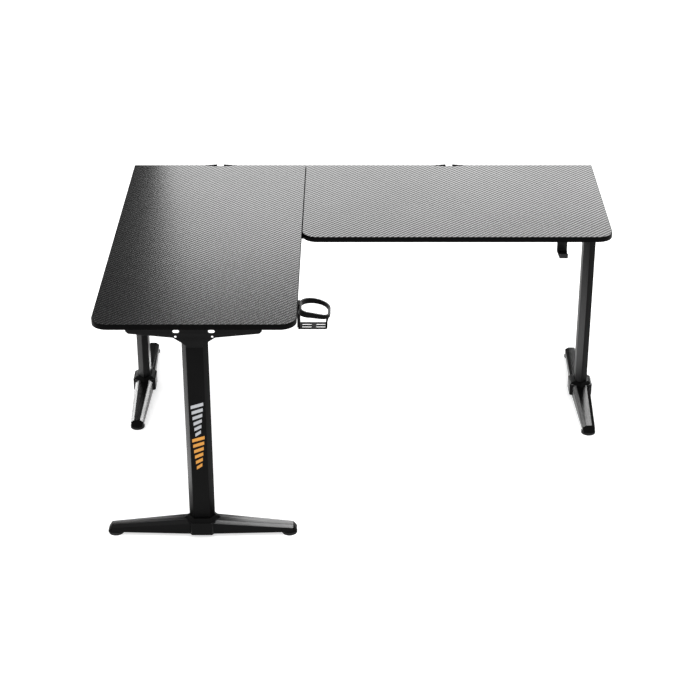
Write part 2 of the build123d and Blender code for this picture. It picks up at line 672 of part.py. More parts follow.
# ---------------------------------------------------------------- every piece
def make_desk():
    left = make_board(0, LEFT_WIDTH - HALF_GAP, LEFT_DEPTH, GUIDE_XS[0])
    right = make_board(LEFT_WIDTH + HALF_GAP, DESK_WIDTH, RIGHT_DEPTH, GUIDE_XS[1])
    pieces = {"left_board": left[0], "left_edge_band": left[1],
              "right_board": right[0], "right_edge_band": right[1]}
    for name, x in zip(SIDES, GUIDE_XS):
        pieces[f"{name}_cable_guide"] = cable_guide(x)

    bolts, inserts = [], []
    for name, leg in LEGS.items():
        length = FOOT_LENGTHS[name]
        pieces[f"{name}_column"] = on_leg(leg, column())
        pieces[f"{name}_base_plate"] = on_leg(leg, base_plate())
        pieces[f"{name}_foot"] = on_leg(leg, foot(length))
        pieces[f"{name}_column_trim"] = on_leg(leg, column_trim())
        pieces[f"{name}_bracket"] = on_leg(leg, bracket())
        for side_name, side in SIDES.items():
            pieces[f"{name}_end_cap_{side_name}"] = on_leg(leg, end_cap(length, side))
            pieces[f"{name}_leveller_pad_{side_name}"] = on_leg(leg, leveller_pad(length, side))
            pieces[f"{name}_leveller_stud_{side_name}"] = on_leg(leg, leveller_stud(length, side))
        bolts += [on_leg(leg, bolt) for bolt in foot_bolts()]
        inserts += [on_leg(leg, insert) for insert in leveller_inserts(length)]
    pieces["foot_bolts"] = group(bolts)
    pieces["leveller_inserts"] = group(inserts)

    pieces["rear_cross_tube"] = cross_tube(REAR_TUBE_Y)
    pieces["middle_cross_tube"] = cross_tube(MIDDLE_TUBE_Y)
    for name, x in zip(SIDES, SIDE_TUBE_XS):
        pieces[f"{name}_side_tube"] = side_tube(x)
    for name, y in zip(("rear", "front"), SEAM_PLATE_YS):
        pieces[f"{name}_seam_plate"] = seam_plate(y)

    inside_tube = FLANGE_BOTTOM - TUBE_WALL
    pieces["bracket_screws"] = group(
        wood_screw(x, y, FLANGE_BOTTOM, PLATE) for x, y in bracket_screws())
    pieces["tube_screws"] = group(
        wood_screw(x, y, inside_tube, TUBE_WALL + PLATE) for x, y in tube_screws())
    pieces["seam_screws"] = group(
        wood_screw(x, y, FLANGE_BOTTOM, PLATE) for x, y in seam_screws())

    pieces["cup_holder"] = cup_holder()
    pieces["cup_holder_bracket"] = cup_bracket()
    under = [wood_screw(x, y, FLANGE_BOTTOM, PLATE) for x, y in cup_screws()]
    pieces["cup_holder_screws"] = group(under + cup_side_screws())

    pieces["headphone_hook"] = headphone_hook()
    seat = BOARD_BOTTOM - HOOK_THICKNESS
    pieces["headphone_hook_screws"] = group(
        wood_screw(x, y, seat, HOOK_THICKNESS) for x, y in hook_screws())
    return pieces


os.makedirs("parts", exist_ok=True)
for piece_name, piece in make_desk().items():
    save(piece_name, piece)
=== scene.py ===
import json
import math

import bmesh
import bpy
from mathutils import Matrix, Vector

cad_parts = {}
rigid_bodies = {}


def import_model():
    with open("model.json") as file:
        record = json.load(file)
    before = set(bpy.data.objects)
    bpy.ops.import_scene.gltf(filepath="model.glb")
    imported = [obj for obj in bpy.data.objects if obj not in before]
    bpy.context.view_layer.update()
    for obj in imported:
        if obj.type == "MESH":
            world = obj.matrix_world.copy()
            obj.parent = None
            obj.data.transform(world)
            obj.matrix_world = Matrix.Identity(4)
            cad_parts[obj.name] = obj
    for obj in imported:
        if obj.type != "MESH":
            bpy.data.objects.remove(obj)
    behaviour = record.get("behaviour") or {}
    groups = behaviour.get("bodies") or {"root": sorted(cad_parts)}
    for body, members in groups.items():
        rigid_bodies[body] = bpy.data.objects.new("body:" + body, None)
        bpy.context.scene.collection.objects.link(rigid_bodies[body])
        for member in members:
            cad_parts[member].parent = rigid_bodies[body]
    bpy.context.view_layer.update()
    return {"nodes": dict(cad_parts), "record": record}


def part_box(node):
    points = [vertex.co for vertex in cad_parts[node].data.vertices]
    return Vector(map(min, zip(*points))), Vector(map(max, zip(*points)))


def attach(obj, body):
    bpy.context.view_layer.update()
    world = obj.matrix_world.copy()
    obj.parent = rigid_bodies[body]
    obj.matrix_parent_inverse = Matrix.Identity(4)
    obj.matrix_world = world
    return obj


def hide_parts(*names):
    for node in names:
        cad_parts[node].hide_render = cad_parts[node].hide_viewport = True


# Looks of the corner desk, in metres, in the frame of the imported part: +X along the rear
# edge, +Y to the rear, +Z up, origin on the floor in the middle of the footprint.
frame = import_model()
NODES = frame["nodes"]
MAIN_BODY = "frame"
LEGS = {"front_leg": 0.0, "right_leg": 90.0, "rear_leg": -90.0}     # turned by, degrees
SIDES = {"left": -1, "right": 1}
EASED_ANGLE = 30.0          # edges sharper than this are rounded
SHADED_ANGLE = 35.0         # faces that meet at less than this shade smoothly

# ---------------------------------------------------------------- sizes, metres
TOW = 0.0043                # width of one strand of the printed weave
BAND = 0.0015               # edge band
BAND_EASE = 0.0006
BOARD_EASE = 0.0002
CORNER_RADIUS = 0.050
NOTCH_HALF = (0.058, 0.0115)
NOTCH_DEPTH = 0.012
PLATE = 0.003
PLATE_EASE = 0.0004

COLUMN = (0.080, 0.040, 0.050)          # length, depth, width of the flat
COLUMN_CORNER = 0.0025
COLLAR = (0.121, 0.078, 0.062)
COLLAR_CORNER = 0.004
COLLAR_RIM = 0.003
COLLAR_RECESS = 0.001
TRIM_GAP = 0.0003
TRIM_RISE = 0.011
ARM_ROOT = 0.050
ARM_OVERHANG = 0.012
# Arm section at the root and at the end: width, top flat, shoulder height, top height
ARM_ROOT_SECTION = (0.060, 0.036, 0.046, 0.0545)
ARM_END_SECTION = (0.042, 0.020, 0.0255, 0.0335)
ARM_CORNER = 0.0022
ARM_FOOT_CORNER = 0.0008    # along the arm's lower edges
ARM_START = 0.030           # inside the collar
CAP_LENGTH = 0.011
PAD_RADIUS = 0.024
PAD_HEIGHT = 0.009

# A bracket's web, right half, across and down from the board; then its flange and openings
WEB_RIGHT = ((0.200, 0.0), (0.200, -0.023), (0.192, -0.031), (0.062, -0.044),
             (0.036, -0.0615), (0.025, -0.070), (0.025, -0.076))
WEB_RADII = (0.0, 0.003, 0.003, 0.006, 0.004, 0.002, 0.001)
WEB_PLACE = -0.020
FLANGE = ((-0.200, -0.023), (0.200, -0.023), (0.200, 0.037), (-0.200, 0.037))
FLANGE_RADII = (0.0, 0.0, 0.006, 0.006)
BRACKET_SLOT = (0.0195, 0.011)
BRACKET_SLOT_PLACE = (0.052, -0.0235)
BRACKET_HOLE = 0.0035
BRACKET_HOLE_PLACE = (0.054, -0.041)

# Slanted bars on the front column: group tops, count, height, pitch, lean, half length
ACCENT_TOPS = (0.470, 0.355)
ACCENT_BARS = 6
ACCENT_HEIGHT = 0.011
ACCENT_PITCH = 0.019
ACCENT_LEAN = 0.012
ACCENT_REACH = 0.019
ACCENT_TAPER = 0.11         # share of its length that each bar loses to the one above
ACCENT_FILM = 0.0003
ACCENT_FILM_EASE = 0.0001

# ---------------------------------------------------------------- colours and gloss
WEAVE_DARK = 0.003
WEAVE_LIGHT = 0.190
WEAVE_ROUGHNESS = (0.42, 0.27)
WEAVE_RELIEF = 0.00008
ZINC_DARK = (0.30, 0.31, 0.33, 1)
ZINC_LIGHT = (0.62, 0.62, 0.60, 1)
SILVER_INK = ((0.16, 0.16, 0.17, 1), (0.42, 0.43, 0.45, 1))
AMBER_INK = ((0.28, 0.10, 0.008, 1), (0.62, 0.27, 0.03, 1))

# ---------------------------------------------------------------- camera and light
CAMERA_PLACE = (-0.03489, -5.34551, 3.0979)
CAMERA_PITCH = 27.359       # degrees below the horizon
CAMERA_LENS = 93.363
CAMERA_SHIFT = -0.003121
SENSOR = 36.0
FLOOR_SIZE = 60.0
FLOOR_GLOW = 0.62
SKY_REAR = 0.05             # low down behind the desk
SKY_AROUND = 1.0            # low down elsewhere
SKY_OVERHEAD = 2.2
SKY_REAR_FADE = (0.3, 0.7)
SKY_OVERHEAD_FADE = (0.45, 0.95)
# Area lights: place, target, width and height, radiance, and what they fall on
SOFTBOXES = {
    "rear_high": ((0.60, 1.30, 1.165), (0.60, 0.0, 1.165), (2.76, 0.81), 2.95, "desk"),
    "rear_left": ((-3.0, 3.4, 0.75), (-0.6, 0.2, 0.1), (0.8, 0.9), 26.0, "legs"),
    "rear_far": ((-1.75, 3.4, 1.85), (0.6, -0.2, 0.1), (0.8, 0.7), 16.0, "legs"),
    "rear_right": ((1.47, 3.4, 1.74), (-0.6, 0.2, 0.1), (0.7, 0.6), 60.0, "legs"),
    "rear_top": ((1.00, 3.4, 2.90), (0.6, 0.2, 0.1), (1.1, 0.9), 24.0, "legs"),
    "left_low": ((-1.85, 0.0, 0.01), (-1.85, 0.0, 1.0), (2.3, 1.2), 5.5, "posts"),
    "middle_low": ((0.0, -0.05, 0.01), (0.0, -0.05, 1.0), (1.3, 0.7), 14.0, "right_post"),
    "under_desk": ((-0.15, 0.10, 0.49), (-0.35, -0.6, 0.06), (0.40, 0.24), 22.0, "front_foot"),
    "front_high": ((0.30, -1.24, 2.7), (-0.3, -0.6, 0.06), (0.8, 0.7), 90.0, "front_foot"),
    "overhead": ((0.45, -1.1, 2.7), (0.3, -0.6, 0.0), (1.2, 1.0), 3.0, "below"),
}


# ================================================================ materials
class Coat:
    """One procedural material, with short ways to add its nodes."""

    def __init__(self, name, **constants):
        self.material = bpy.data.materials.new(name)
        self.material.use_nodes = True
        self.tree = self.material.node_tree
        self.shader = self.tree.nodes["Principled BSDF"]
        for socket, value in constants.items():
            self.shader.inputs[socket.replace("_", " ")].default_value = value
        self.place = self.add("TexCoord").outputs["Object"]

    def add(self, kind, values=None, **settings):
        node = self.tree.nodes.new("ShaderNode" + kind)
        for key, value in settings.items():
            setattr(node, key, value)
        for key, value in (values or {}).items():
            self.feed(node.inputs[key], value)
        return node

    def feed(self, socket, value):
        if isinstance(value, bpy.types.NodeSocket):
            self.tree.links.new(value, socket)
        else:
            socket.default_value = value

    def math(self, operation, *values):
        return self.add("Math", dict(enumerate(values)), operation=operation).outputs[0]

    def axes(self):
        return self.add("SeparateXYZ", {0: self.place}).outputs

    def stretched(self, scale):
        mapping = self.add("Mapping", {"Vector": self.place, "Scale": scale})
        return mapping.outputs[0]

    def noise(self, scale, detail=2.0, stretch=(1, 1, 1)):
        values = {"Vector": self.stretched(stretch), "Scale": scale, "Detail": detail}
        return self.add("TexNoise", values).outputs[0]

    def cells(self, scale):
        values = {"Vector": self.place, "Scale": scale}
        return self.add("TexVoronoi", values).outputs["Distance"]

    def span(self, value, low, high, start=0.0, end=1.0):
        """value from start..end brought to low..high."""
        values = {0: value, 1: start, 2: end, 3: low, 4: high}
        return self.add("MapRange", values).outputs[0]

    def mix(self, factor, a, b):
        node = self.add("Mix", {0: factor, 6: a, 7: b}, data_type="RGBA")
        return node.outputs[2]

    def bump(self, height, distance, strength=1.0, after=None):
        values = {"Height": height, "Distance": distance, "Strength": strength}
        if after:
            values["Normal"] = after
        return self.add("Bump", values).outputs[0]

    def finish(self, colour, roughness, normal):
        self.feed(self.shader.inputs["Base Color"], colour)
        self.feed(self.shader.inputs["Roughness"], roughness)
        self.feed(self.shader.inputs["Normal"], normal)
        return self.material


def grey(level, tint=0.0):
    return (level, level, level * (1 + tint), 1.0)


def laminate():
    """Printed two-by-two twill under a satin film: strands over two and under two."""
    coat = Coat("board_laminate", Metallic=1.0)
    x, y, _ = coat.axes()
    u = coat.math("DIVIDE", x, TOW)
    v = coat.math("DIVIDE", y, TOW)
    column, row = coat.math("FLOOR", u), coat.math("FLOOR", v)
    step_y = coat.math("ADD", coat.math("SUBTRACT", v, column), 1.0)
    step_x = coat.math("SUBTRACT", coat.math("SUBTRACT", u, row), 2.0)
    along_y = coat.math("FLOORED_MODULO", step_y, 4.0)
    along_x = coat.math("FLOORED_MODULO", step_x, 4.0)
    upright = coat.math("LESS_THAN", along_y, 2.0)
    arch_y = coat.math("SINE", coat.math("MULTIPLY", along_y, math.pi / 2))
    arch_x = coat.math("SINE", coat.math("MULTIPLY", along_x, math.pi / 2))
    round_y = coat.math("SINE", coat.math("MULTIPLY", coat.math("FRACT", u), math.pi))
    round_x = coat.math("SINE", coat.math("MULTIPLY", coat.math("FRACT", v), math.pi))
    crown_x = coat.math("MULTIPLY", arch_x, round_x)
    crown_y = coat.math("MULTIPLY", arch_y, round_y)
    height = coat.span(upright, crown_x, crown_y)
    fibre_x = coat.noise(1.0, 2, (90, 2600, 90))
    fibre_y = coat.noise(1.0, 2, (2600, 90, 90))
    fibre = coat.span(upright, fibre_x, fibre_y)
    cloud = coat.noise(2.2, 3)
    body = coat.mix(upright, grey(WEAVE_DARK), grey(WEAVE_LIGHT))
    streak = coat.span(fibre, 0.85, 1.17, 0.3, 0.7)
    # painted shade: each strand is darker towards its edges and where it dips under the crossing
    # strand, following the same height as the bump; the fibre streaks and a slow random tone are
    # mixed into the same factor
    crown_shade_and_streak = coat.math("MULTIPLY", coat.span(height, 0.65, 1.0), streak)
    crown_shade_and_streak = coat.math("MULTIPLY", crown_shade_and_streak, coat.span(cloud, 0.9, 1.1, 0.3, 0.7))
    colour = coat.mix(crown_shade_and_streak, grey(WEAVE_DARK), body)
    gloss = coat.span(upright, *WEAVE_ROUGHNESS)
    rough = coat.math("ADD", gloss, coat.span(fibre, -0.03, 0.03, 0.3, 0.7))
    normal = coat.bump(height, WEAVE_RELIEF, 1.0)
    normal = coat.bump(coat.noise(700, 3), 0.00003, 0.2, normal)
    return coat.finish(colour, rough, normal)


def edge_band():
    """Black edging strip with a fine grain along it."""
    coat = Coat("edge_band", Specular_IOR_Level=0.025)
    grain = coat.noise(60, 4, (1, 1, 30))
    speck = coat.noise(1800, 2)
    colour = coat.mix(grain, grey(0.0006), grey(0.0020))
    rough = coat.span(grain, 0.30, 0.42, 0.3, 0.7)
    return coat.finish(colour, rough, coat.bump(speck, 0.00004, 0.5))


def powder_coat(name, low, high, roughness, specular):
    """Baked paint: orange peel, fine specks and slow clouds of gloss."""
    coat = Coat(name, Specular_IOR_Level=specular)
    peel = coat.noise(620, 3)
    speck = coat.noise(3600, 2)
    cloud = coat.noise(9, 3)
    fleck = coat.span(speck, 0.0, 0.6, 0.35, 0.65)
    tone = coat.math("ADD", fleck, coat.span(cloud, 0.0, 0.4, 0.3, 0.7))
    colour = coat.mix(tone, grey(low), grey(high, 0.03))
    ripple = coat.span(peel, -0.03, 0.03, 0.3, 0.7)
    broad = coat.span(cloud, roughness, roughness + 0.05, 0.3, 0.7)
    rough = coat.math("ADD", ripple, broad)
    normal = coat.bump(peel, 0.00006, 0.35)
    normal = coat.bump(speck, 0.00002, 0.35, normal)
    return coat.finish(colour, rough, normal)


def moulded(name, low, high, roughness, specular):
    """Spark-eroded plastic: a fine pebble texture."""
    coat = Coat(name, Specular_IOR_Level=specular)
    pebble = coat.cells(1500)
    flow = coat.noise(40, 3, (1, 1, 0.3))
    colour = coat.mix(pebble, grey(low), grey(high))
    fine = coat.span(pebble, -0.05, 0.06, 0.0, 0.8)
    broad = coat.span(flow, roughness, roughness + 0.06, 0.3, 0.7)
    rough = coat.math("ADD", fine, broad)
    return coat.finish(colour, rough, coat.bump(pebble, 0.00005, 0.5))


def rubber():
    """Matt rubber, fine-grained and a little dusty."""
    coat = Coat("pad_rubber", Specular_IOR_Level=0.25)
    grain = coat.noise(900, 4)
    dust = coat.noise(55, 4)
    colour = coat.mix(coat.span(dust, 0.0, 1.0, 0.45, 0.8), grey(0.006), grey(0.02))
    rough = coat.span(grain, 0.62, 0.80, 0.3, 0.7)
    return coat.finish(colour, rough, coat.bump(grain, 0.00008, 0.5))


def zinc():
    """Zinc plate: crystal patches over fine turning lines."""
    coat = Coat("fastener_steel", Metallic=1.0)
    patch = coat.cells(420)
    lines = coat.noise(1.0, 2, (500, 500, 5200))
    half_patch = coat.math("MULTIPLY", patch, 0.5)
    half_lines = coat.math("MULTIPLY", lines, 0.5)
    tone = coat.math("ADD", half_patch, half_lines)
    colour = coat.mix(tone, ZINC_DARK, ZINC_LIGHT)
    rough = coat.span(lines, 0.26, 0.46, 0.3, 0.7)
    return coat.finish(colour, rough, coat.bump(lines, 0.00002, 0.5))


def fibreboard():
    """Pressed wood fibres, where the core shows at the cable notches and below."""
    coat = Coat("board_core", Specular_IOR_Level=0.3)
    fibre = coat.noise(1.0, 5, (900, 900, 2400))
    clump = coat.noise(140, 3)
    tone = coat.math("MULTIPLY", fibre, clump)
    colour = coat.mix(coat.span(tone, 0.0, 1.0, 0.1, 0.5), grey(0.008), grey(0.02))
    rough = coat.span(fibre, 0.6, 0.8, 0.3, 0.7)
    return coat.finish(colour, rough, coat.bump(fibre, 0.00008, 0.5))


def accent(name, dark, light):
    """Screen-printed ink, a little grainy."""
    coat = Coat(name, Specular_IOR_Level=0.4)
    grain = coat.noise(2600, 3)
    cloud = coat.noise(60, 2)
    speckle = coat.span(grain, 0.5, 1.0, 0.3, 0.7)
    tone = coat.math("MULTIPLY", speckle, coat.span(cloud, 0.8, 1.0, 0.3, 0.7))
    colour = coat.mix(tone, dark, light)
    rough = coat.span(grain, 0.38, 0.5, 0.3, 0.7)
    return coat.finish(colour, rough, coat.bump(grain, 0.00002, 0.4))


def floor_paper():
    """White paper that gives off a little light of its own, so that it stays white."""
    coat = Coat("floor_paper", Specular_IOR_Level=0.0)
    coat.shader.inputs["Emission Color"].default_value = (1, 1, 1, 1)
    coat.shader.inputs["Emission Strength"].default_value = FLOOR_GLOW
    grain = coat.noise(4.0, 3)
    colour = coat.mix(grain, grey(0.68), grey(0.72))
    return coat.finish(colour, coat.span(grain, 0.94, 1.0), coat.bump(grain, 0.0001, 0.1))


MATERIALS = {
    "board_laminate": laminate(),
    "edge_band": edge_band(),
    "column_paint": powder_coat("column_paint", 0.001, 0.003, 0.40, 0.05),
    "foot_paint": powder_coat("foot_paint", 0.0008, 0.0024, 0.20, 0.06),
    "frame_paint": powder_coat("frame_paint", 0.002, 0.006, 0.38, 0.06),
    "hook_paint": powder_coat("hook_paint", 0.004, 0.010, 0.34, 0.15),
    "moulded_black": moulded("moulded_black", 0.0008, 0.0024, 0.40, 0.04),
    "cup_plastic": moulded("cup_plastic", 0.0010, 0.003, 0.36, 0.04),
    "pad_rubber": rubber(),
    "fastener_steel": zinc(),
}
CORE = fibreboard()
SILVER = accent("accent_silver", *SILVER_INK)
AMBER = accent("accent_amber", *AMBER_INK)


# ================================================================ mesh helpers
def rounded(points, radius, steps=5):
    """A closed outline with every corner turned into an arc; radius may be a list."""
    radii = radius if isinstance(radius, (list, tuple)) else [radius] * len(points)
    out = []
    for k, corner in enumerate(points):
        c = Vector(corner)
        if radii[k] <= 0:
            out.append(c)
            continue
        before = (Vector(points[k - 1]) - c).normalized()
        after = (Vector(points[(k + 1) % len(points)]) - c).normalized()
        half = before.angle(after) / 2
        centre = c + (before + after).normalized() * (radii[k] / math.sin(half))
        start = c + before * (radii[k] / math.tan(half)) - centre
        end = c + after * (radii[k] / math.tan(half)) - centre
        turn = start.angle_signed(end)
        for s in range(steps + 1):
            spin = Matrix.Rotation(-turn * s / steps, 2)
            out.append(centre + spin @ start)
    return out


def hexagon(length, depth, flat, inset=0.0):
    """Six-sided outline with points at the two ends of its length, moved in by inset."""
    run, rise = (length - flat) / 2, depth / 2
    slant = math.hypot(run, rise)
    side = length / 2 - inset * slant / rise
    face = depth / 2 - inset
    half = side - face * run / rise
    return [(half, face), (-half, face), (-side, 0), (-half, -face), (half, -face), (side, 0)]


def circle(radius, centre, count):
    turns = [2 * math.pi * k / count for k in range(count)]
    return [(centre[0] + radius * math.cos(a), centre[1] + radius * math.sin(a)) for a in turns]


def slot_outline(length, width, centre):
    """A slot with round ends."""
    reach, r = (length - width) / 2, width / 2
    out = []
    for k in range(13):
        a = -math.pi / 2 + math.pi * k / 12
        out.append((centre[0] + reach + r * math.cos(a), centre[1] + r * math.sin(a)))
    for k in range(13):
        a = math.pi / 2 + math.pi * k / 12
        out.append((centre[0] - reach + r * math.cos(a), centre[1] + r * math.sin(a)))
    return out


def flat_plate(loops, thickness, ease):
    """A mesh from an outline and its holes in XY, from z 0 to thickness, edges eased."""
    data = bpy.data.curves.new("plate", "CURVE")
    data.dimensions = "2D"
    data.fill_mode = "BOTH"
    data.extrude = thickness / 2 - ease
    data.bevel_depth = ease
    data.bevel_resolution = 2
    data.offset = -ease
    for loop in loops:
        spline = data.splines.new("POLY")
        spline.points.add(len(loop) - 1)
        for point, xy in zip(spline.points, loop):
            point.co = (xy[0], xy[1], 0, 1)
        spline.use_cyclic_u = True
    holder = bpy.data.objects.new("plate", data)
    mesh = bpy.data.meshes.new_from_object(holder)
    bpy.data.objects.remove(holder)
    bpy.data.curves.remove(data)
    mesh.transform(Matrix.Translation((0, 0, thickness / 2)))
    return mesh


def skin(rings, close=False):
    """A closed mesh through rings of equal length; close joins the last to the first."""
    bm = bmesh.new()
    rows = [[bm.verts.new(p) for p in ring] for ring in rings]
    count = len(rows[0])
    pairs = list(zip(rows, rows[1:])) + ([(rows[-1], rows[0])] if close else [])
    for low, high in pairs:
        for k in range(count):
            bm.faces.new((low[k], low[(k + 1) % count], high[(k + 1) % count], high[k]))
    if not close:
        bm.faces.new(list(reversed(rows[0])))
        bm.faces.new(rows[-1])
    bmesh.ops.recalc_face_normals(bm, faces=bm.faces)
    return to_mesh(bm)


def to_mesh(bm):
    mesh = bpy.data.meshes.new("piece")
    bm.to_mesh(mesh)
    bm.free()
    return mesh


def eased(mesh, width, segments=2):
    """Every sharp edge, rounded by width."""
    bm = bmesh.new()
    bm.from_mesh(mesh)
    bmesh.ops.remove_doubles(bm, verts=bm.verts, dist=1e-6)
    limit = math.radians(EASED_ANGLE)
    sharp = [e for e in bm.edges if e.is_manifold and e.calc_face_angle(0) > limit]
    bmesh.ops.bevel(bm, geom=sharp, offset=width, segments=segments, affect="EDGES",
                    profile=0.5, clamp_overlap=True)
    return to_mesh(bm)


def merged(meshes):
    """Several meshes as one."""
    bm = bmesh.new()
    for mesh in meshes:
        bm.from_mesh(mesh)
    bmesh.ops.remove_doubles(bm, verts=bm.verts, dist=1e-7)
    return to_mesh(bm)


def combined(first, others, operation):
    """The first closed mesh with the others joined to it or cut out of it."""
    base = bpy.data.objects.new("base", first)
    bpy.context.scene.collection.objects.link(base)
    tools = []
    for mesh in others:
        tool = bpy.data.objects.new("tool", mesh)
        bpy.context.scene.collection.objects.link(tool)
        modifier = base.modifiers.new("combine", "BOOLEAN")
        modifier.operation = operation
        modifier.solver = "EXACT"
        modifier.object = tool
        tools.append(tool)
    depsgraph = bpy.context.evaluated_depsgraph_get()
    result = bpy.data.meshes.new_from_object(base.evaluated_get(depsgraph))
    for item in [base] + tools:
        bpy.data.objects.remove(item)
    return result


def moved(mesh, matrix):
    copy = mesh.copy()
    copy.transform(matrix)
    return copy


def lathe(profile, count):
    """A round mesh from (radius, z) points, from the axis to the axis."""
    rings = []
    for radius, z in profile:
        turns = [2 * math.pi * k / count for k in range(count)]
        rings.append([(radius * math.cos(a), radius * math.sin(a), z) for a in turns])
    return skin(rings)


def prism(outline, low, high):
    return skin([[(x, y, z) for x, y in outline] for z in (low, high)])


def piece(name, mesh, slot, body=MAIN_BODY, replaces=(), material=None):
    """A finished piece: smooth where its faces meet gently, in the frame, on its body."""
    mesh.name = name
    obj = bpy.data.objects.new(name, mesh)
    bpy.context.scene.collection.objects.link(obj)
    mesh.materials.clear()
    mesh.materials.append(material or MATERIALS[slot])
    for face in mesh.polygons:
        face.material_index = 0
        face.use_smooth = True
    mesh.set_sharp_from_angle(angle=math.radians(SHADED_ANGLE))
    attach(obj, body)
    if replaces:
        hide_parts(*replaces)
    return obj


# ================================================================ boards
def board_outline(low, high, inset, notch_x):
    """Rounded at the front corners, with the cable notch in the rear edge."""
    left, right = low.x + inset, high.x - inset
    front, rear = low.y + inset, high.y - inset
    wide, narrow = NOTCH_HALF
    slope = (wide - narrow) / NOTCH_DEPTH
    mouth = wide - inset * slope
    points = [(left, front), (right, front), (right, rear), (notch_x + mouth, rear),
              (notch_x + narrow, high.y - NOTCH_DEPTH), (notch_x - narrow, high.y - NOTCH_DEPTH),
              (notch_x - mouth, rear), (left, rear)]
    radius = CORNER_RADIUS - inset
    return rounded(points, [radius, radius, 0, 0, 0, 0, 0, 0], 14)


def band_outline(low, high, notch_x):
    """The strip round the board, open at the notch."""
    outer = board_outline(low, high, 0.0, notch_x)
    inner = board_outline(low, high, BAND, notch_x)
    turn = next(k for k, p in enumerate(outer) if abs(p[1] - (high.y - NOTCH_DEPTH)) < 1e-6)
    outer = outer[turn + 2:] + outer[:turn]
    inner = inner[turn + 2:] + inner[:turn]
    return outer + inner[::-1]


def make_board(side):
    """A board's top in laminate over its core, and the edge band round it."""
    low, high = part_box(f"{side}_edge_band")
    guide_low, guide_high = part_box(f"{side}_cable_guide")
    notch_x = (guide_low.x + guide_high.x) / 2
    thickness = high.z - low.z
    down = Matrix.Translation((0, 0, low.z))
    core = flat_plate([board_outline(low, high, BAND, notch_x)], thickness, BOARD_EASE)
    board = piece(f"{side}_desktop", moved(core, down), "board_laminate",
                  replaces=[f"{side}_board"])
    board.data.materials.append(CORE)
    for face in board.data.polygons:
        face.material_index = 0 if face.normal.z > 0.5 else 1
    band = flat_plate([band_outline(low, high, notch_x)], thickness, BAND_EASE)
    piece(f"{side}_edging", moved(band, down), "edge_band", replaces=[f"{side}_edge_band"])


# ================================================================ legs, in their own frame
def leg_matrix(leg):
    """From a leg's own frame, with its foot along X, to its place in the desk."""
    low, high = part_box(f"{leg}_column")
    middle = (low + high) / 2
    turn = Matrix.Rotation(math.radians(LEGS[leg]), 4, "Z")
    return Matrix.Translation((middle.x, middle.y, 0)) @ turn


def foot_half(leg):
    """Half the foot's length, out to the rim of its pads."""
    low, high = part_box(f"{leg}_leveller_pad_right")
    inner = leg_matrix(leg).inverted()
    return max((inner @ Vector((x, y, 0))).x for x in (low.x, high.x) for y in (low.y, high.y))


def arm_ring(half, x, bottom):
    """The arm's section at x: upright sides, sloped shoulders and a narrow flat top."""
    end = half - ARM_OVERHANG
    t = (x - ARM_ROOT) / (end - ARM_ROOT)
    width, flat, shoulder, top = [
        a + (b - a) * t for a, b in zip(ARM_ROOT_SECTION, ARM_END_SECTION)]
    side, ridge = width / 2, flat / 2
    points = [(-side, bottom), (side, bottom), (side, shoulder), (ridge, top), (-ridge, top),
              (-side, shoulder)]
    radii = [ARM_FOOT_CORNER] * 2 + [ARM_CORNER] * 4
    return [(x, p[0], p[1]) for p in rounded(points, radii)]


def foot_mesh(half, bottom, top):
    """A six-sided collar with a sunk top, between two tapering arms."""
    collar = rounded(hexagon(*COLLAR), COLLAR_CORNER)
    block = eased(prism(collar, bottom, top), 0.0009, 3)
    end = half - ARM_OVERHANG
    arm = skin([arm_ring(half, x, bottom) for x in (ARM_START, end)])
    other = moved(arm, Matrix.Rotation(math.pi, 4, "Z"))
    whole = combined(block, [arm, other], "UNION")
    sink = rounded(hexagon(*COLLAR, COLLAR_RIM), COLLAR_CORNER - COLLAR_RIM / 2)
    cutter = prism(sink, top - COLLAR_RECESS, top + 0.02)
    return combined(whole, [cutter], "DIFFERENCE")


def column_mesh(bottom, top):
    """The six-sided tube, with eased edges."""
    return eased(prism(rounded(hexagon(*COLUMN), COLUMN_CORNER), bottom, top), 0.0005)


def trim_mesh(base):
    """A skirt that slopes from the collar's rim up to the column, with a small lip."""
    def ring(inset, z):
        return [(x, y, z) for x, y in rounded(hexagon(*COLLAR, inset), 0.002)]

    def inner(z):
        return [(x, y, z) for x, y in rounded(hexagon(*COLUMN, -TRIM_GAP), 0.002)]

    start = COLLAR_RIM + TRIM_GAP
    rings = [ring(start, base), ring(start + 0.0006, base + 0.0016),
             ring(start + TRIM_RISE - 0.0025, base + TRIM_RISE - 0.0016),
             ring(start + TRIM_RISE - 0.0015, base + TRIM_RISE - 0.0004),
             ring(start + TRIM_RISE, base + TRIM_RISE), inner(base + TRIM_RISE - 0.0002),
             inner(base)]
    return skin(rings, close=True)


def cap_mesh(half, bottom):
    """A moulded wedge that closes the end of an arm and slopes down over the pad."""
    end = half - ARM_OVERHANG
    width, flat, shoulder, top = ARM_END_SECTION
    rings = []
    for share in (0.0, 0.06, 0.10, 0.5, 0.9, 1.0):
        x = end + CAP_LENGTH * share
        groove = 0.0005 if share == 0.06 else 0.0
        side = width / 2 - 0.003 * share - groove
        ridge = flat / 2 - 0.0015 * share - groove / 2
        low_top = bottom + 0.004
        crest = top + (low_top - top) * share ** 1.15 - groove
        knee = shoulder + (low_top - 0.002 - shoulder) * share ** 1.15 - groove
        points = [(-side, bottom), (side, bottom), (side, knee), (ridge, crest),
                  (-ridge, crest), (-side, knee)]
        r = min(0.0022, (crest - bottom) / 6)
        radii = [0.0004, 0.0004, r, r, r, r]
        rings.append([(x, p[0], p[1]) for p in rounded(points, radii)])
    return skin(rings)


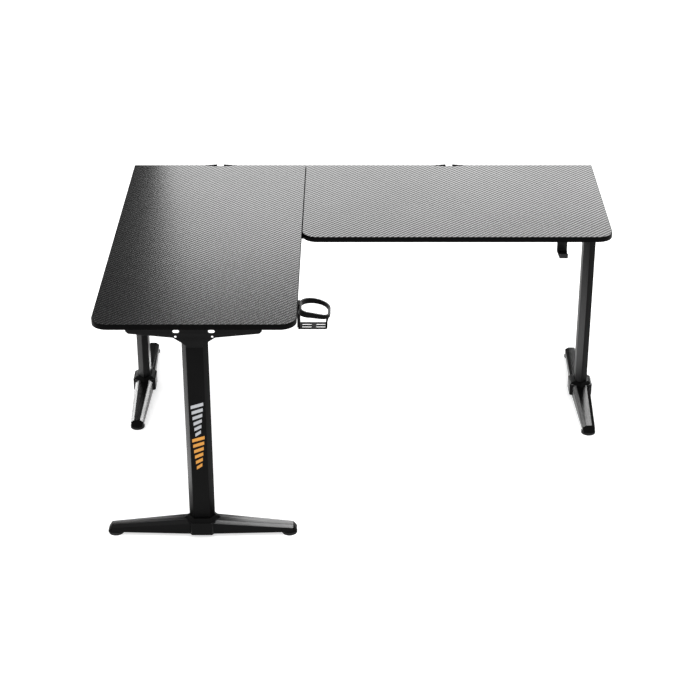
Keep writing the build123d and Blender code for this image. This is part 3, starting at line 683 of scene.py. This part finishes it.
def pad_mesh(top):
    """A round pad with a waisted rim, a dished top and a boss round the stud."""
    r, h = PAD_RADIUS, PAD_HEIGHT
    profile = [(0.001, 0.0), (r - 0.0016, 0.0), (r - 0.0006, 0.0004), (r, 0.0014),
               (r, 0.0032), (r - 0.0005, 0.0037), (r - 0.0005, 0.0045), (r, 0.0050),
               (r, h - 0.0016), (r - 0.0005, h - 0.0005), (r - 0.0016, h),
               (r - 0.006, h - 0.0003), (0.0115, h - 0.0003), (0.0105, h + 0.0002),
               (0.009, h + 0.0012), (0.009, top - 0.0006), (0.0084, top), (0.001, top)]
    return lathe(profile, 64)


def web_outline():
    """The shaped web of a bracket, across and down from the board."""
    left = tuple((-x, z) for x, z in reversed(WEB_RIGHT))
    return rounded(WEB_RIGHT + left, WEB_RADII + WEB_RADII[::-1], 4)


def bracket_mesh(board_bottom):
    """Folded plate: a flange under the board and a web with two slots and two holes."""
    loops = [[(x, min(z, -PLATE)) for x, z in web_outline()]]
    slot_x, slot_z = BRACKET_SLOT_PLACE
    hole_x, hole_z = BRACKET_HOLE_PLACE
    for side in SIDES.values():
        loops.append(slot_outline(*BRACKET_SLOT, (side * slot_x, slot_z)))
        loops.append(circle(BRACKET_HOLE, (side * hole_x, hole_z), 28))
    upright = flat_plate(loops, PLATE, PLATE_EASE)
    place = Matrix.Translation((0, WEB_PLACE, board_bottom))
    upright.transform(place @ Matrix.Rotation(math.pi / 2, 4, "X"))
    flat = flat_plate([rounded(FLANGE, FLANGE_RADII)], PLATE, PLATE_EASE)
    flat.transform(Matrix.Translation((0, 0, board_bottom - PLATE)))
    return merged([upright, flat])


def make_leg(leg):
    """Foot, column, trim, bracket, end caps and pads of one leg."""
    place = leg_matrix(leg)
    half = foot_half(leg)
    foot_low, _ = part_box(f"{leg}_foot")
    _, column_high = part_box(f"{leg}_column")
    trim_low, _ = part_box(f"{leg}_column_trim")
    board_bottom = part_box("left_board")[0].z
    collar_top = trim_low.z + COLLAR_RECESS

    foot = foot_mesh(half, foot_low.z, collar_top)
    piece(f"{leg}_base", moved(foot, place), "foot_paint", replaces=[f"{leg}_foot"])
    column = column_mesh(trim_low.z - 0.020, column_high.z)
    piece(f"{leg}_post", moved(column, place), "column_paint", replaces=[f"{leg}_column"])
    piece(f"{leg}_skirt", moved(trim_mesh(trim_low.z), place), "moulded_black",
          replaces=[f"{leg}_column_trim"])
    piece(f"{leg}_top_bracket", moved(bracket_mesh(board_bottom), place), "frame_paint",
          replaces=[f"{leg}_bracket"])
    cap = cap_mesh(half, foot_low.z)
    for side_name, side in SIDES.items():
        turned = place @ Matrix.Rotation(0.0 if side > 0 else math.pi, 4, "Z")
        piece(f"{leg}_toe_{side_name}", moved(cap, turned), "moulded_black",
              replaces=[f"{leg}_end_cap_{side_name}"])
        node = f"{leg}_leveller_pad_{side_name}"
        low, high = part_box(node)
        middle = (low + high) / 2
        pad = moved(pad_mesh(high.z), Matrix.Translation((middle.x, middle.y, 0)))
        piece(f"{leg}_glide_{side_name}", pad, "pad_rubber", body=f"{leg}_leveller_{side_name}",
              replaces=[node])


# ================================================================ accent on the front column
def make_accent():
    """Two groups of slanted bars down the front flat of the front column."""
    low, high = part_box("front_leg_column")
    middle = (low.x + high.x) / 2
    front = low.y
    place = Matrix.Translation((middle, front + ACCENT_FILM_EASE, 0))
    stand = place @ Matrix.Rotation(math.pi / 2, 4, "X")
    for name, top, ink in zip(("silver", "amber"), ACCENT_TOPS, (SILVER, AMBER)):
        bars = []
        for k in range(ACCENT_BARS):
            z = top - k * ACCENT_PITCH
            reach = ACCENT_REACH * (1 - ACCENT_TAPER * k)
            points = [(-reach, z - ACCENT_LEAN), (reach, z), (reach, z - ACCENT_HEIGHT),
                      (-reach, z - ACCENT_LEAN - ACCENT_HEIGHT)]
            bars.append(flat_plate([points], ACCENT_FILM, ACCENT_FILM_EASE))
        mesh = merged(bars)
        piece(f"column_accent_{name}", moved(mesh, stand), "column_paint", material=ink)


# ================================================================ carried-over CAD pieces
def paint_cad_nodes():
    """Every CAD node gets its material; the ones replaced are hidden anyway."""
    for row in frame["record"]["subparts"]:
        node = NODES[row["node"]]
        for slot in node.material_slots:
            slot.material = MATERIALS[row["material_slot"]]


# ================================================================ stage
def unlit(*objects):
    """A light-linking group that a light passes by, while it falls on everything else."""
    group = bpy.data.collections.new("unlit")
    for k, item in enumerate(objects):
        group.objects.link(item)
        group.collection_objects[k].light_linking.link_state = "EXCLUDE"
    return group


def lit_only(*objects):
    """A light-linking group of the only things that a light falls on."""
    group = bpy.data.collections.new("lit_only")
    for item in objects:
        group.objects.link(item)
    return group


def softbox(name, place, target, size, radiance, receivers):
    """An area light of the given radiance, out of sight, for one light-linking group."""
    light = bpy.data.lights.new(name, "AREA")
    light.shape = "RECTANGLE"
    light.size, light.size_y = size
    light.energy = radiance * math.pi * size[0] * size[1]
    holder = bpy.data.objects.new(name, light)
    holder.visible_camera = False
    holder.location = place
    aim = Vector(target) - Vector(place)
    holder.rotation_euler = aim.to_track_quat("-Z", "Y").to_euler()
    holder.light_linking.receiver_collection = receivers
    bpy.context.scene.collection.objects.link(holder)


def make_world():
    """Bright overhead, pale all round and dark low down behind the desk."""
    world = bpy.data.worlds.new("studio")
    bpy.context.scene.world = world
    world.use_nodes = True
    tree = world.node_tree
    sky = tree.nodes["Background"]
    place = tree.nodes.new("ShaderNodeTexCoord")
    split = tree.nodes.new("ShaderNodeSeparateXYZ")
    tree.links.new(place.outputs["Generated"], split.inputs[0])
    fades = []
    for axis, values in (("Y", (*SKY_REAR_FADE, SKY_AROUND, SKY_REAR)),
                         ("Z", (*SKY_OVERHEAD_FADE, 0.0, SKY_OVERHEAD))):
        fade = tree.nodes.new("ShaderNodeMapRange")
        fade.interpolation_type = "SMOOTHSTEP"
        for socket, value in enumerate(values, 1):
            fade.inputs[socket].default_value = value
        tree.links.new(split.outputs[axis], fade.inputs[0])
        fades.append(fade)
    tree.links.new(fades[0].outputs[0], fades[1].inputs[3])
    backdrop = tree.nodes.new("ShaderNodeLightPath")
    brighter = tree.nodes.new("ShaderNodeMath")
    brighter.operation = "MAXIMUM"
    tree.links.new(fades[1].outputs[0], brighter.inputs[0])
    tree.links.new(backdrop.outputs["Is Camera Ray"], brighter.inputs[1])
    tree.links.new(brighter.outputs[0], sky.inputs["Strength"])
    sky.inputs["Color"].default_value = (1, 1, 1, 1)


def make_stage():
    """Floor, sky, lights and camera."""
    bm = bmesh.new()
    bmesh.ops.create_grid(bm, x_segments=4, y_segments=4, size=FLOOR_SIZE / 2)
    floor = bpy.data.objects.new("studio_floor", to_mesh(bm))
    floor.data.materials.append(floor_paper())
    bpy.context.scene.collection.objects.link(floor)
    make_world()
    pieces = bpy.data.objects
    tops = [pieces[f"{side}_{part}"] for side in SIDES for part in ("desktop", "edging")]
    guides = [NODES[f"{side}_cable_guide"] for side in SIDES]
    receivers = {
        "desk": unlit(floor, *guides),
        "legs": unlit(floor, *tops, *guides),
        "posts": lit_only(*(pieces[f"{leg}_post"] for leg in LEGS)),
        "right_post": lit_only(pieces["right_leg_post"]),
        "front_foot": lit_only(pieces["front_leg_base"]),
        "below": unlit(*tops),
    }
    for name, (place, target, size, radiance, group) in SOFTBOXES.items():
        softbox(name, place, target, size, radiance, receivers[group])

    camera = bpy.data.objects.new("camera", bpy.data.cameras.new("camera"))
    camera.data.sensor_width = SENSOR
    camera.data.lens = CAMERA_LENS
    camera.data.shift_x = CAMERA_SHIFT
    camera.location = CAMERA_PLACE
    camera.rotation_euler = (math.radians(90 - CAMERA_PITCH), 0, 0)
    bpy.context.scene.collection.objects.link(camera)
    bpy.context.scene.camera = camera
    bpy.context.scene.view_settings.view_transform = "Standard"


# ================================================================ everything
paint_cad_nodes()
for board_side in SIDES:
    make_board(board_side)
for leg_name in LEGS:
    make_leg(leg_name)
make_accent()
make_stage()
